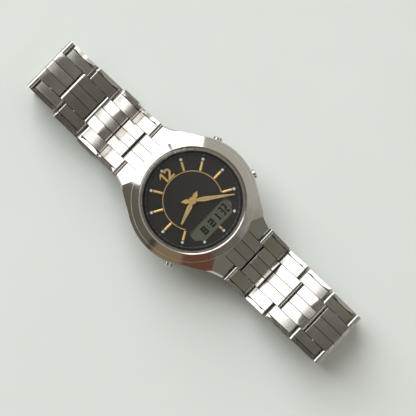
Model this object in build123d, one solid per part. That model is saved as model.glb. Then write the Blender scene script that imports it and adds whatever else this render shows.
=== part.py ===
from build123d import *
import math
import os

# Analogue and digital wristwatch on a steel bracelet, laid flat with its clasp unfolded.
# Millimetres. +Z is up out of the dial, +Y points to 12 o'clock, +X to 3 o'clock.
# The origin is on the table under the dial's axis.

# Clearances shared by every piece
overrun = 1.0                 # how far a cutter runs past what it cuts
turning_gap = 0.05            # round a pin or shaft that turns
sliding_gap = 0.06            # round a stem or button that slides
open_pivot_gap = 0.25         # round the one bracelet pin that closes the loop
side_gap = 0.2                # between bracelet pieces that lie side by side
end_gap = 0.15                # between a rounded link end and the flat end before it
fit_gap = 0.05                # between seated pieces that stay still
arbor_gap = 0.1               # between wheels, plates and arbors of the movement

# Bracelet rows
pitch = 10.0                  # from pivot to pivot
link_radius = 1.2             # rounded link end, half the link's thickness
centre_width = 10.2
first_row_width = 21.0
last_row_width = 19.2
strip_groove_width = 0.22
strip_groove_depth = 0.26
edge_strip_width = 1.25       # sloping strip along the outer edge of an outer link
edge_strip_fall = 0.15
link_crown = 0.1              # how far a link's faces fall from their middle to their ends
link_end_bevel = 0.3
pin_radius = 0.5
fixed_bar_radius = 0.45
pin_inset = 0.35              # how far a pin stops short of the link's side
row_slopes = [-33.0, 29.0, 17.0, -2.44, -90.0, -180.0]     # degrees, from the lug outwards
twelve_side_rows = 6
six_side_rows = 8
upper_rows = 4                # rows on top, before the one that stands upright
strip_count = 3

# Head: outline
case_radius = 20.0
lug_reach = 3.9               # case radius to the first bracelet pivot
lug_flank_angle = 33.0        # degrees round from 3 o'clock where the lug leaves the round case
lug_flank_share = 0.28        # straight part of the lug's flank, as a share of the case's radius
lug_beyond_row = 0.2          # lug tip outside the first row's side
lug_shoulder_share = 0.85     # where the lug's top starts to fall, as a share of the case's radius
lug_belly_share = 0.8         # where its underside starts to fall
flank_bevel = 0.6
lug_bar_inset = 1.9           # how far the spring bar stops short of the lug's side
first_pivot_y = case_radius + lug_reach
lug_flank_length = case_radius * lug_flank_share
lug_tip_half_width = first_row_width / 2 + lug_beyond_row
lug_shoulder_y = case_radius * lug_shoulder_share
lug_belly_y = case_radius * lug_belly_share

# Head: heights
pivot_above_back = 2.5
back_stands_proud = 0.9
lug_tip_rise = 1.9            # lug tip's top over the pivot
lug_tip_drop = 1.7            # lug tip's underside below the pivot
back_thickness = 1.2
space_over_back = 0.45        # case back to the cell's clip
clip_thickness = 0.2
chip_thickness = 0.4
board_thickness = 0.4
board_gap = 0.25
bridge_thickness = 0.35
train_space = 2.0
plate_thickness = 1.3
solar_thickness = 0.12
dial_thickness = 0.4
dial_below_crystal = 1.0
crystal_thickness = 1.15
crystal_over_bezel = 0.12
bezel_height = 1.1
cone_fall_rate = 0.36         # fall per mm outwards of the bezel's face and the case round it

# Head: end pieces between the lugs
end_piece_below_lug = 0.15
end_piece_step_y = 0.55       # raised strip next to the bezel
end_piece_step = 0.12

# Head: bezel and crystal
bezel_ledge = 1.3             # case body outside the bezel
bezel_width = 3.45
bezel_seat_width = 0.7        # flat ring round the crystal
bezel_inner_bevel = 0.38      # bevel that falls towards that ring
bezel_inner_fall = 0.17
bezel_crest_width = 0.17      # flat crest between the bevel and the wide face
bezel_edge_bevel = 0.12
crystal_seal_width = 0.15
crystal_dome = 0.12
crystal_edge_bevel = 0.15
bezel_outer_radius = case_radius - bezel_ledge
bezel_bore_radius = bezel_outer_radius - bezel_width
bezel_seat_radius = bezel_bore_radius + bezel_seat_width
bezel_crest_radius = bezel_seat_radius + bezel_inner_bevel
bezel_face_radius = bezel_crest_radius + bezel_crest_width
bezel_edge_radius = bezel_outer_radius - bezel_edge_bevel
bezel_edge_fall = (bezel_edge_radius - bezel_face_radius) * cone_fall_rate
crystal_radius = bezel_bore_radius - crystal_seal_width

# Dial and flange
flange_width = 1.15
flange_top_width = 0.55
hour_tube_radius = 0.8
dial_hole_gap = 0.2
dial_radius = crystal_radius + fit_gap
flange_inner_radius = dial_radius - flange_width
flange_top_radius = dial_radius - flange_top_width
dial_hole_radius = hour_tube_radius + dial_hole_gap

# Dial furniture; the shares are of the dial's radius
hour_step_angle = 30.0        # degrees from hour to hour
marker_height = 0.18
baton_side_height = 0.06      # a baton's two upper faces rise from here to its ridge
baton_width = 0.66
baton_inner_share = 0.62
baton_outer_share = 0.812
short_baton_inner_share = 0.739
dot_radius = 0.43
dot_circle_share = 0.858
arc_share = 0.599
arc_width = 0.24
arc_height = 0.12
arc_end_angle = 30.0          # degrees below the 3 to 9 line where the arc stops
arc_radius = dial_radius * arc_share

# Numeral 12; the last four shares are of the numeral's height
numeral_height_share = 0.2245
numeral_middle_share = 0.728
one_x_share = -0.0647
two_x_share = 0.0568
numeral_stroke = 0.64
flag_reach_share = 0.294      # how far the 1's flag reaches left of its stem
flag_drop_share = 0.338
two_width_share = 0.706
two_bow_share = 0.3235        # radius of the 2's upper bow
two_bow_end_angle = 160.0     # degrees, where the upper bow starts on the left
two_bow_turn_angle = -200.0   # degrees that the bow turns to its right-hand end
numeral_height = dial_radius * numeral_height_share
numeral_middle_y = dial_radius * numeral_middle_share

# Liquid crystal display; the shares are of the dial's radius
window_middle_share = -0.0165
window_half_width_share = 0.5314
window_top_share = -0.4026
window_bottom_share = -0.736
window_top_corner = 0.6
window_bottom_corner = 2.3
lcd_margin = 0.4
lcd_thickness = 0.8
lcd_below_dial = 0.02

# Hands, seen from the dial side; their lengths are shares of the dial's radius
hour_hand_angle = 251.3       # degrees clockwise from 12
minute_hand_angle = 127.4
hour_hand_share = 0.525
hour_hand_width = 1.5
hour_hand_tip = 0.55
hour_tail_share = 0.218
minute_hand_share = 0.845
minute_hand_width = 1.45
minute_hand_tip = 0.35
minute_tail_share = 0.244
hand_thickness = 0.14
waist_share = 0.28            # where a hand is widest, as a share of its length
neck_share = 0.42             # width at the hub, as a share of the widest
tail_waist_share = 0.56       # where a tail is widest, as a share of its length
hub_radius = 1.15
hub_height = 0.2
hour_hand_over_dial = 0.26
minute_hand_over_hour = 0.3
arbor_radius = 0.42

# Inside the case
cavity_gap = 0.25             # round the dial
holder_width = 0.9
holder_bottom_over_back = 0.15
cavity_radius = dial_radius + cavity_gap
holder_inner_radius = cavity_radius - holder_width
plate_radius = holder_inner_radius - arbor_gap

# Movement; the shares are of the main plate's radius
motion_recess_depth = 0.75
bridge_share = 0.597
battery_radius_share = 0.33
battery_x_share = -0.514
battery_y_share = 0.292
battery_thickness = 1.9
battery_rim_share = 0.25      # bevelled rim, as a share of the cell's thickness
clip_width = 1.6
chip_share = 0.165
antenna_length_share = 1.042
antenna_y_share = 0.764
antenna_width = 2.6
antenna_thickness = 1.2
antenna_core_share = 0.5      # core's width, as a share of the winding's
antenna_winding_share = 0.667  # winding's length, as a share of the core's
post_radius = 0.7
post_angles = [20.0, 75.0, 310.0]
bridge_radius = plate_radius * bridge_share
battery_radius = plate_radius * battery_radius_share
battery_x = plate_radius * battery_x_share
battery_y = plate_radius * battery_y_share

# Gear train
train_module_share = 0.009028  # tooth module of the train, as a share of the main plate's radius
motion_module = 0.12
centre_teeth = 60
second_pinion_teeth = 8
second_wheel_teeth = 48
rotor_teeth = 6
cannon_teeth = 10
minute_wheel_teeth = 30
minute_pinion_teeth = 8
hour_wheel_teeth = 32
tooth_share = 0.34            # tooth thickness at the pitch circle, as a share of its pitch
tooth_tip_share = 0.16        # tooth thickness at the tip
addendum_share = 0.75         # tooth tip above the pitch circle, as a share of the module
dedendum_share = 1.25
wheel_thickness = 0.18
pinion_height = 0.5
shaft_radius = 0.18
rotor_magnet_radius = 0.7
rotor_magnet_height = 0.5
second_wheel_angle = 200.0    # degrees, where the second wheel lies round the centre
rotor_angle = 250.0           # degrees, where the rotor lies round the second wheel
minute_wheel_angle = 35.0
stator_thickness = 0.3
stator_share = 0.236
coil_share = 0.052
coil_length_share = 0.417
coil_core_width = 0.6
coil_core_thickness = 0.3
train_module = plate_radius * train_module_share
stator_width = plate_radius * stator_share
coil_radius = plate_radius * coil_share
coil_length = plate_radius * coil_length_share

# Case back
back_seat = 0.4               # ledge in the case round the cavity
back_lip_inset = 0.5
back_lip_width = 0.5
screw_offset = 0.8            # edge of the case back to the screws' circle
screw_head_radius = 1.0
screw_head_height = 0.5
screw_shank_radius = 0.5
screw_length = 2.4
screw_slot_width = 0.25
screw_ear_radius = 1.7
screw_angles = [45.0, 135.0, 225.0, 315.0]
back_seal_width = 0.35
back_radius = cavity_radius + back_seat
back_lip_radius = cavity_radius - back_lip_inset
screw_circle_radius = back_radius + screw_offset

# Pushers
pusher_angles = {"pusher_2": 22.0, "pusher_4": -22.0, "pusher_8": 202.0}
pusher_height_share = 0.525   # pusher's height above the case back, as a share of the case's
pusher_radius = 1.5
pusher_proud = 1.15
pusher_travel = 0.6
pusher_cap_length = 2.2
pusher_edge = 0.25
stem_radius = 0.55
stem_inner_reach = 0.95       # stem's end inside the case wall
pusher_clip_radius = 0.95
pusher_clip_thickness = 0.25
clip_pocket_depth = 1.2
seal_length = 0.6
pusher_reach = case_radius + pusher_proud

# Clasp
clasp_length = 31.2           # from its bracelet pin to its hinge pin
clasp_wall = 0.8
clasp_floor = 0.7
blade_thickness = 0.9
blade_inset = 1.22            # outer blade inside the cover's walls
inner_blade_inset = 0.7       # inner blade inside the outer blade's sides
knuckle_width = 7.0
adjust_hole_count = 4
adjust_hole_radius = 0.45
adjust_step_share = 0.0705    # from hole to hole, as a share of the clasp's length
button_y_share = 0.42         # from the bracelet pin, as a share of the clasp's length
button_length = 6.0
button_height = 0.9
button_travel = 0.6
button_proud = 0.2            # what still stands out once the button is pressed
button_depth = 2.0
button_rest_gap = 0.21        # between the button's flange and the wall
button_flange = 0.5
latch_share = 0.25            # hook's place, as a share of a blade's length
latch_width = 3.0
latch_length = 1.0
latch_height = 1.25
hinge_pin_radius = 0.5
clasp_width = last_row_width + 2 * (side_gap + clasp_wall)
blade_width = clasp_width - 2 * (clasp_wall + blade_inset)
inner_blade_width = blade_width - 2 * inner_blade_inset


# Plain solids

def disc(radius, bottom, top, x=0, y=0):
    return Pos(x, y, (bottom + top) / 2) * Cylinder(radius, top - bottom)


def ring(outer, inner, bottom, top, x=0, y=0):
    return disc(outer, bottom, top, x, y) - disc(inner, bottom - overrun, top + overrun, x, y)


def block(x0, x1, y0, y1, z0, z1):
    middle = Pos((x0 + x1) / 2, (y0 + y1) / 2, (z0 + z1) / 2)
    return middle * Box(x1 - x0, y1 - y0, z1 - z0)


def cross_pin(radius, x0, x1, y=0, z=0):
    return Pos((x0 + x1) / 2, y, z) * Rot(0, 90, 0) * Cylinder(radius, x1 - x0)


def radial(angle):
    """Turns a piece made along +X to an angle round the dial's axis."""
    return Rot(0, 0, angle)


def revolved(points):
    """A ring turned from an outline of (radius, height) points."""
    outline = Plane.XZ * make_face(Polyline(*points, close=True))
    return revolve(outline, Axis.Z)


def flat_polygon(points, bottom, top):
    face = make_face(Polyline(*points, close=True))
    return Pos(0, 0, bottom) * extrude(face, amount=top - bottom, dir=(0, 0, 1))


def side_profile(face, x0, x1):
    """Extrudes a face drawn in (y, z) between two x positions."""
    return Pos(x0, 0, 0) * extrude(Plane.YZ * face, amount=x1 - x0)


def end_profile(points, y0, y1):
    """Extrudes an outline drawn in (x, z) between two y positions."""
    face = Plane.XZ * make_face(Polyline(*points, close=True))
    return Pos(0, y1, 0) * extrude(face, amount=y1 - y0)


def save(solids, name):
    pieces = []
    for solid in solids:
        pieces.extend(solid.solids())
    whole = pieces[0] if len(pieces) == 1 else Compound(children=pieces)
    whole.label = name
    export_step(whole, os.path.join("parts", name + ".step"))


# Where the bracelet's pivots lie, seen from the side

def pivots():
    """Pivot points from the lug outwards, down and back along the table."""
    lift = sum(math.sin(math.radians(slope)) for slope in row_slopes[:upper_rows])
    z = link_radius + pitch - pitch * lift
    y = first_pivot_y
    points = [(y, z)]
    for slope in row_slopes:
        y += pitch * math.cos(math.radians(slope))
        z += pitch * math.sin(math.radians(slope))
        points.append((y, z))
    return points


pivot_points = pivots()
lug_pivot_z = pivot_points[0][1]
clasp_pin_y = pivot_points[twelve_side_rows][0]
row_end_y = (six_side_rows - twelve_side_rows) * pitch - clasp_pin_y
clasp_hinge_y = clasp_pin_y - clasp_length
blade_length = (clasp_hinge_y - row_end_y) / 2
blade_hinge_y = clasp_hinge_y - blade_length

# Heights in the head, from the case back up to the crystal
back_z = lug_pivot_z - pivot_above_back
back_inner_z = back_z + back_thickness
case_bottom_z = back_z + back_stands_proud
holder_bottom_z = back_inner_z + holder_bottom_over_back
battery_bottom_z = back_inner_z + space_over_back + clip_thickness
board_bottom_z = battery_bottom_z + chip_thickness
board_top_z = board_bottom_z + board_thickness
bridge_bottom_z = board_top_z + board_gap
bridge_top_z = bridge_bottom_z + bridge_thickness
plate_bottom_z = bridge_top_z + train_space
plate_top_z = plate_bottom_z + plate_thickness
dial_bottom_z = plate_top_z + solar_thickness
dial_z = dial_bottom_z + dial_thickness
crystal_bottom_z = dial_z + dial_below_crystal
crystal_top_z = crystal_bottom_z + crystal_thickness
bezel_top_z = crystal_top_z - crystal_over_bezel
case_top_z = bezel_top_z - bezel_height
case_height = case_top_z - back_z
pusher_z = back_z + case_height * pusher_height_share
lug_tip_y = first_pivot_y - link_radius - end_gap


# Bracelet

def row_width(number):
    """Overall width of a row: it narrows from the lugs to the fourth row."""
    step = (first_row_width - last_row_width) / (upper_rows - 1)
    return first_row_width - step * min(number - 1, upper_rows - 1)


def rounded_bar(round_at, flat_at):
    """Side view of a link piece: crowned, round at one end, flat and bevelled at the other."""
    end = link_radius - link_crown
    bevel = math.copysign(link_end_bevel, flat_at - round_at)
    shoulder = flat_at - bevel
    middle = (round_at + shoulder) / 2
    lines = [ThreePointArc((round_at, end), (middle, link_radius), (shoulder, end)),
             Line((shoulder, end), (flat_at, end - link_end_bevel))]
    lines += [mirror(line, Plane.XZ) for line in lines]
    lines += [Line((round_at, -end), (round_at, end)),
              Line((flat_at, link_end_bevel - end), (flat_at, end - link_end_bevel))]
    return make_face(Curve() + lines) + Pos(round_at, 0) * Circle(end)


def groove_notches(places):
    """Cutters for the shallow grooves that run along a link's upper face."""
    cutters = []
    for x in places:
        half = strip_groove_width / 2
        cutters.append(block(x - half, x + half, -pitch, 2 * pitch + overrun,
                             link_radius - strip_groove_depth, link_radius + overrun))
    return cutters


def outer_link(width):
    """The link piece on the +X side, with its front pivot on the X axis."""
    inner_x = centre_width / 2 + side_gap
    outer_x = width / 2
    face = rounded_bar(0, pitch - link_radius - end_gap)
    body = side_profile(face, inner_x, outer_x)
    strip_x = outer_x - edge_strip_width
    edge_z = link_radius - edge_strip_fall
    section = [(inner_x, -link_radius), (strip_x, -link_radius), (outer_x, -edge_z),
               (outer_x, edge_z), (strip_x, link_radius), (inner_x, link_radius)]
    body = body & end_profile(section, -pitch, 2 * pitch)
    for cutter in groove_notches([strip_x]):
        body -= cutter
    body -= cross_pin(pin_radius, 0, outer_x - pin_inset)
    body -= cross_pin(fixed_bar_radius, 0, outer_x - pin_inset, y=pitch / 2)
    return body


def centre_link():
    """The middle piece, three strips wide, whose tongue reaches past the next pivot."""
    half = centre_width / 2
    body = side_profile(rounded_bar(pitch, link_radius + end_gap), -half, half)
    strip = centre_width / strip_count
    for cutter in groove_notches([-strip / 2, strip / 2]):
        body -= cutter
    body -= cross_pin(pin_radius + turning_gap, -half - overrun, half + overrun, y=pitch)
    body -= cross_pin(fixed_bar_radius, -half - overrun, half + overrun, y=pitch / 2)
    return body


def bracelet_row(number):
    """One row: two outer links, the centre, the bar that joins them and its hinge pin."""
    width = row_width(number)
    right = outer_link(width)
    left = mirror(right, Plane.YZ)
    reach = width / 2 - pin_inset
    hinge_pin = cross_pin(pin_radius, -reach, reach)
    fixed_bar = cross_pin(fixed_bar_radius, -reach, reach, y=pitch / 2)
    return [right, left, centre_link(), hinge_pin, fixed_bar]


def row_place(number):
    """Where a row on the 12 o'clock side lies."""
    index = min(number, len(row_slopes)) - 1
    y, z = pivot_points[index]
    extra = (number - 1 - index) * pitch
    return Pos(0, y - extra, z) * Rot(row_slopes[index], 0, 0)


def bracelet():
    for side, count, turn in (("12", twelve_side_rows, 0), ("6", six_side_rows, 180)):
        for number in range(1, count + 1):
            place = Rot(0, 0, turn) * row_place(number)
            solids = [place * piece for piece in bracelet_row(number)]
            if side == "6" and number == six_side_rows:
                solids.append(place * closing_bar())
            save(solids, "link_" + side + "_" + str(number))


def closing_bar():
    """The spring bar in the last tongue, which reaches into the clasp blade's ears."""
    reach = blade_width / 2 - pin_inset
    return cross_pin(pin_radius + turning_gap, -reach, reach, y=pitch)


# Case

def case_outline():
    """Outline from above: a round case with a tapering lug at each corner."""
    angle = math.radians(lug_flank_angle)
    join = (case_radius * math.cos(angle), case_radius * math.sin(angle))
    along = (-math.sin(angle), math.cos(angle))
    bend = (join[0] + along[0] * lug_flank_length, join[1] + along[1] * lug_flank_length)
    tip = (lug_tip_half_width, lug_tip_y)
    flank = Line(join, bend)
    hollow = TangentArc(bend, tip, tangent=along)
    edge = Line(tip, (0, lug_tip_y))
    quarter = [flank, hollow, edge]
    right = quarter + [mirror(line, Plane.XZ) for line in quarter]
    right.append(ThreePointArc(join, (case_radius, 0), (join[0], -join[1])))
    lines = right[:-1] + [mirror(line, Plane.YZ) for line in right]
    lines.append(right[-1])
    return make_face(Curve() + lines)


def case_side_view():
    """Side view: flat in the middle, lugs falling towards their tips."""
    tip_top = lug_pivot_z + lug_tip_rise
    tip_bottom = lug_pivot_z - lug_tip_drop
    half = [Line((0, case_top_z), (lug_shoulder_y, case_top_z)),
            Line((lug_shoulder_y, case_top_z), (lug_tip_y, tip_top)),
            Line((lug_tip_y, tip_top), (lug_tip_y, tip_bottom)),
            TangentArc((lug_belly_y, case_bottom_z), (lug_tip_y, tip_bottom), tangent=(1, 0)),
            Line((lug_belly_y, case_bottom_z), (0, case_bottom_z))]
    return make_face(Curve() + half + [mirror(line, Plane.YZ) for line in half])


def lug_top_z(y):
    """Height of the lugs' upper face, which falls straight from the shoulder to the tip."""
    run = lug_tip_y - lug_shoulder_y
    fall = case_top_z - lug_pivot_z - lug_tip_rise
    return case_top_z - (y - lug_shoulder_y) * fall / run


def lug_slots():
    """The gaps between the lugs that take the bracelet's end pieces."""
    half = centre_width / 2 + side_gap
    start = end_piece_start()
    cutters = []
    for turn in (0, 180):
        cutters.append(Rot(0, 0, turn) * block(-half, half, start, lug_tip_y + overrun, 0,
                                               case_top_z + overrun))
    return cutters


def end_piece_start():
    return bezel_outer_radius + fit_gap


def pusher_hole(angle):
    """Stem hole through the case wall, with the wider pocket for the clip and the cap."""
    stem = cross_pin(stem_radius + sliding_gap, cavity_radius - overrun, case_radius + overrun)
    cap_depth = pusher_reach - pusher_cap_length - pusher_travel - sliding_gap
    cap = cross_pin(pusher_radius + sliding_gap, cap_depth, case_radius + overrun)
    clip = cross_pin(pusher_clip_radius + sliding_gap, cavity_radius - overrun,
                     cavity_radius + clip_pocket_depth)
    seal = cross_pin(pusher_radius, cap_depth - seal_length, cap_depth)
    return radial(angle) * Pos(0, 0, pusher_z) * (stem + cap + clip + seal)


def case_cone():
    """Everything under the cone that carries on the bezel's slope out to the lugs' tips."""
    reach = math.hypot(lug_tip_half_width, lug_tip_y) + overrun
    rim_z = case_top_z - (reach - bezel_outer_radius) * cone_fall_rate
    return revolved([(0, back_z), (0, case_top_z), (bezel_outer_radius, case_top_z),
                     (reach, rim_z), (reach, back_z)])


def case_body():
    blank = extrude(Pos(0, 0, back_z) * case_outline(), amount=case_height)
    blank = blank & side_profile(case_side_view(), -case_radius, case_radius)
    rims = blank.edges().filter_by(lambda edge: is_rim(edge))
    blank = chamfer(rims, flank_bevel) + disc(bezel_outer_radius, case_bottom_z, case_top_z)
    blank = blank & case_cone()
    blank -= disc(cavity_radius, back_z, case_top_z + overrun)
    blank -= disc(back_radius + fit_gap, case_bottom_z - overrun, back_inner_z)
    for cutter in lug_slots():
        blank -= cutter
    for angle in pusher_angles.values():
        blank -= pusher_hole(angle)
    for angle in screw_angles:
        blank -= radial(angle) * disc(screw_shank_radius, case_bottom_z - overrun,
                                      screw_top_z(), x=screw_circle_radius)
        blank -= radial(angle) * disc(screw_ear_radius + fit_gap, case_bottom_z - overrun,
                                      back_inner_z, x=screw_circle_radius)
    for turn in (0, 180):
        blank -= Rot(0, 0, turn) * lug_bar()
    return blank


def is_rim(edge):
    """True for the upper edge that runs round the case and along the lugs' outer flanks."""
    middle = edge.center()
    above = middle.Z > lug_pivot_z + lug_tip_rise / 2
    along_tip = abs(middle.Y) > lug_tip_y - fit_gap
    inner = abs(middle.X) < fit_gap
    vertical = abs(edge.bounding_box().size.Z) > case_height / 2
    return above and not along_tip and not inner and not vertical and edge.length > link_radius


def lug_bar():
    """Spring bar through the lugs and the end piece, on the 12 o'clock side."""
    reach = lug_tip_half_width - lug_bar_inset
    return cross_pin(pin_radius, -reach, reach, y=lug_bar_y(), z=lug_pivot_z)


def lug_bar_y():
    return (end_piece_start() + lug_tip_y) / 2


def end_piece_side_view(sink):
    """Side view: it falls with the lugs' tops to the pivot; sink lowers its upper face."""
    start = end_piece_start() + fit_gap
    slope = math.radians(row_slopes[0])
    top_z = lug_top_z(start) - end_piece_below_lug - sink
    radius = link_radius - sink
    touch = (first_pivot_y - radius * math.sin(slope), lug_pivot_z + radius * math.cos(slope))
    outline = [(start, lug_pivot_z - link_radius), (start, top_z), touch,
               (first_pivot_y, lug_pivot_z - link_radius)]
    tongue = Pos(first_pivot_y, lug_pivot_z) * Circle(radius)
    return make_face(Polyline(*outline, close=True)) + tongue


def end_piece():
    """Three-strip piece between the lugs, whose tongue carries the first bracelet pin."""
    half = centre_width / 2
    start = end_piece_start() + fit_gap
    body = side_profile(end_piece_side_view(end_piece_step), -half, half)
    step = side_profile(end_piece_side_view(0), -half, half)
    body += step & block(-half, half, start, start + end_piece_step_y, lug_pivot_z, case_top_z)
    groove = side_profile(end_piece_side_view(strip_groove_depth), -half, half)
    above = side_profile(end_piece_side_view(0), -half, half) - groove
    strip = centre_width / strip_count
    for x in (-strip / 2, strip / 2):
        body -= above & block(x - strip_groove_width / 2, x + strip_groove_width / 2,
                              start, first_pivot_y + 2 * link_radius, lug_pivot_z, case_top_z)
    body -= cross_pin(pin_radius + turning_gap, -half - overrun, half + overrun,
                      y=first_pivot_y, z=lug_pivot_z)
    body -= lug_bar()
    return body


def bezel_ring():
    edge_z = bezel_top_z - bezel_edge_fall
    outline = [(bezel_bore_radius, case_top_z),
               (bezel_bore_radius, bezel_top_z - bezel_inner_fall),
               (bezel_seat_radius, bezel_top_z - bezel_inner_fall),
               (bezel_crest_radius, bezel_top_z),
               (bezel_face_radius, bezel_top_z),
               (bezel_edge_radius, edge_z),
               (bezel_outer_radius, edge_z - bezel_edge_bevel),
               (bezel_outer_radius, case_top_z)]
    return revolved(outline)


def crystal():
    edge = crystal_top_z - crystal_dome
    glass = disc(crystal_radius, crystal_bottom_z, edge)
    rim = glass.edges().filter_by(GeomType.CIRCLE).sort_by(Axis.Z)[-1]
    glass = chamfer(rim, crystal_edge_bevel)
    face_radius = crystal_radius - crystal_edge_bevel
    sphere_radius = (face_radius ** 2 + crystal_dome ** 2) / (2 * crystal_dome)
    dome = Pos(0, 0, crystal_top_z - sphere_radius) * Sphere(sphere_radius)
    dome = dome & disc(face_radius, edge, crystal_top_z + overrun)
    return glass + dome


def crystal_gasket():
    return ring(bezel_bore_radius, crystal_radius, crystal_bottom_z,
                bezel_top_z - bezel_inner_fall)


def flange_ring():
    """Dark sloping ring between the dial and the crystal."""
    outline = [(flange_inner_radius, dial_z), (dial_radius, dial_z),
               (dial_radius, crystal_bottom_z), (flange_top_radius, crystal_bottom_z)]
    return revolved(outline)


def clock_angle(degrees_from_12):
    """Turns degrees clockwise from 12 into degrees anticlockwise from 3."""
    return 90 - degrees_from_12


def window_outline(margin):
    """The display's window: straight on top, with its lower corners cut more."""
    middle = dial_radius * window_middle_share
    reach = dial_radius * window_half_width_share + margin
    left = middle - reach
    right = middle + reach
    top = dial_radius * window_top_share + margin
    bottom = dial_radius * window_bottom_share - margin
    small = window_top_corner
    large = window_bottom_corner
    return [(left + small, top), (right - small, top), (right, top - small),
            (right, bottom + large), (right - large, bottom),
            (left + large, bottom), (left, bottom + large), (left, top - small)]


def dial():
    plate = disc(dial_radius, dial_bottom_z, dial_z) - disc(dial_hole_radius,
                                                            dial_bottom_z - overrun,
                                                            dial_z + overrun)
    return plate - flat_polygon(window_outline(0), dial_bottom_z - overrun, dial_z + overrun)


def solar_cell():
    sheet = ring(dial_radius, dial_hole_radius, plate_top_z, dial_bottom_z)
    return sheet - flat_polygon(window_outline(lcd_margin + fit_gap), plate_top_z - overrun,
                                dial_bottom_z + overrun)


def lcd_panel():
    top = dial_bottom_z - lcd_below_dial
    return flat_polygon(window_outline(lcd_margin), top - lcd_thickness, top)


def baton(hour):
    """Applied marker with a ridge along its middle."""
    inner = dial_radius * (short_baton_inner_share if hour == 6 else baton_inner_share)
    half = baton_width / 2
    side_z = dial_z + baton_side_height
    section = [(-half, dial_z), (half, dial_z), (half, side_z), (0, dial_z + marker_height),
               (-half, side_z)]
    bar = end_profile(section, inner, dial_radius * baton_outer_share)
    return Rot(0, 0, -hour_step_angle * hour) * bar


def hour_markers():
    return [baton(hour) for hour in range(1, 12) if hour not in (5, 7)]


def hour_dots():
    dots = []
    for hour in range(12):
        dot = disc(dot_radius, dial_z, dial_z + marker_height, x=dial_radius * dot_circle_share)
        dots.append(radial(clock_angle(hour * hour_step_angle)) * dot)
    return dots


def dial_arc():
    """Thin gold arc over the upper part of the dial, left open round the display."""
    half = arc_width / 2
    hoop = ring(arc_radius + half, arc_radius - half, dial_z, dial_z + arc_height)
    angle = math.radians(arc_end_angle)
    cut = arc_radius * math.sin(angle)
    arc = hoop - block(-case_radius, case_radius, -case_radius, -cut,
                       dial_z - overrun, dial_z + overrun)
    for marker in hour_markers():
        arc -= marker
    return arc


def numeral_one():
    """A plain 1 with a slanting flag."""
    half = numeral_stroke / 2
    top = numeral_height / 2
    flag_x = -half - numeral_height * flag_reach_share
    flag_y = top - numeral_height * flag_drop_share
    outline = [(half, top), (half, -top), (-half, -top), (-half, top - numeral_stroke),
               (flag_x, flag_y - half), (flag_x, flag_y), (-half, top)]
    return make_face(Polyline(*outline, close=True))


def numeral_two():
    """A plain 2: an upper bow, a slanted stroke and a foot."""
    half = numeral_stroke / 2
    top = numeral_height / 2
    bow_radius = numeral_height * two_bow_share
    foot = numeral_height * two_width_share / 2
    bow = CenterArc((0, top - bow_radius), bow_radius - half, two_bow_end_angle,
                    two_bow_turn_angle)
    foot_left = (half - foot, half - top)
    foot_right = (foot, half - top)
    line = bow + Line(bow @ 1, foot_left) + Line(foot_left, foot_right)
    return trace(line, line_width=numeral_stroke)


def numeral_12():
    one = Pos(dial_radius * one_x_share, numeral_middle_y) * numeral_one()
    two = Pos(dial_radius * two_x_share, numeral_middle_y) * numeral_two()
    return [Pos(0, 0, dial_z) * extrude(face, amount=marker_height) for face in (one, two)]


# Hands

def hand_outline(length, width, tip, tail):
    """A leaf blade with a pointed tail that crosses the hub, pointing to +X."""
    waist = length * waist_share
    neck = width * neck_share / 2
    tail_waist = -tail * tail_waist_share
    return [(length, tip / 2), (waist, width / 2), (0, neck), (tail_waist, width / 2),
            (-tail, 0), (tail_waist, -width / 2), (0, -neck), (waist, -width / 2),
            (length, -tip / 2)]


def hand(outline, bottom, hub_top, bore):
    blade = flat_polygon(outline, bottom, bottom + hand_thickness)
    hub = disc(hub_radius, bottom, hub_top)
    return blade + hub - disc(bore, bottom - overrun, hub_top + overrun)


hour_hand_z = dial_z + hour_hand_over_dial
minute_hand_z = hour_hand_z + minute_hand_over_hour


def hour_hand():
    outline = hand_outline(dial_radius * hour_hand_share, hour_hand_width, hour_hand_tip,
                           dial_radius * hour_tail_share)
    piece = hand(outline, hour_hand_z, hour_hand_z + hand_thickness, hour_tube_radius)
    return radial(clock_angle(hour_hand_angle)) * piece


def minute_hand():
    outline = hand_outline(dial_radius * minute_hand_share, minute_hand_width, minute_hand_tip,
                           dial_radius * minute_tail_share)
    piece = hand(outline, minute_hand_z, minute_hand_z + hub_height, arbor_radius)
    return radial(clock_angle(minute_hand_angle)) * piece


# Gear train

def gear(teeth, module, bottom, top, bore, phase=0):
    """A spur wheel with straight-sided teeth; phase turns it by a share of one tooth."""
    step = 2 * math.pi / teeth
    root = teeth * module / 2 - module * dedendum_share
    tip = gear_tip_radius(teeth, module)
    points = []
    for tooth in range(teeth):
        middle = (tooth + phase) * step
        for where, share in ((root, -tooth_share), (tip, -tooth_tip_share),
                             (tip, tooth_tip_share), (root, tooth_share)):
            angle = middle + share * step
            points.append((where * math.cos(angle), where * math.sin(angle)))
    wheel = flat_polygon(points, bottom, top)
    return wheel - disc(bore, bottom - overrun, top + overrun) if bore else wheel


def gear_tip_radius(teeth, module):
    return teeth * module / 2 + module * addendum_share


def gear_distance(teeth_a, teeth_b, module):
    return (teeth_a + teeth_b) * module / 2


def polar(distance, angle):
    turn = math.radians(angle)
    return (distance * math.cos(turn), distance * math.sin(turn))


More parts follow.
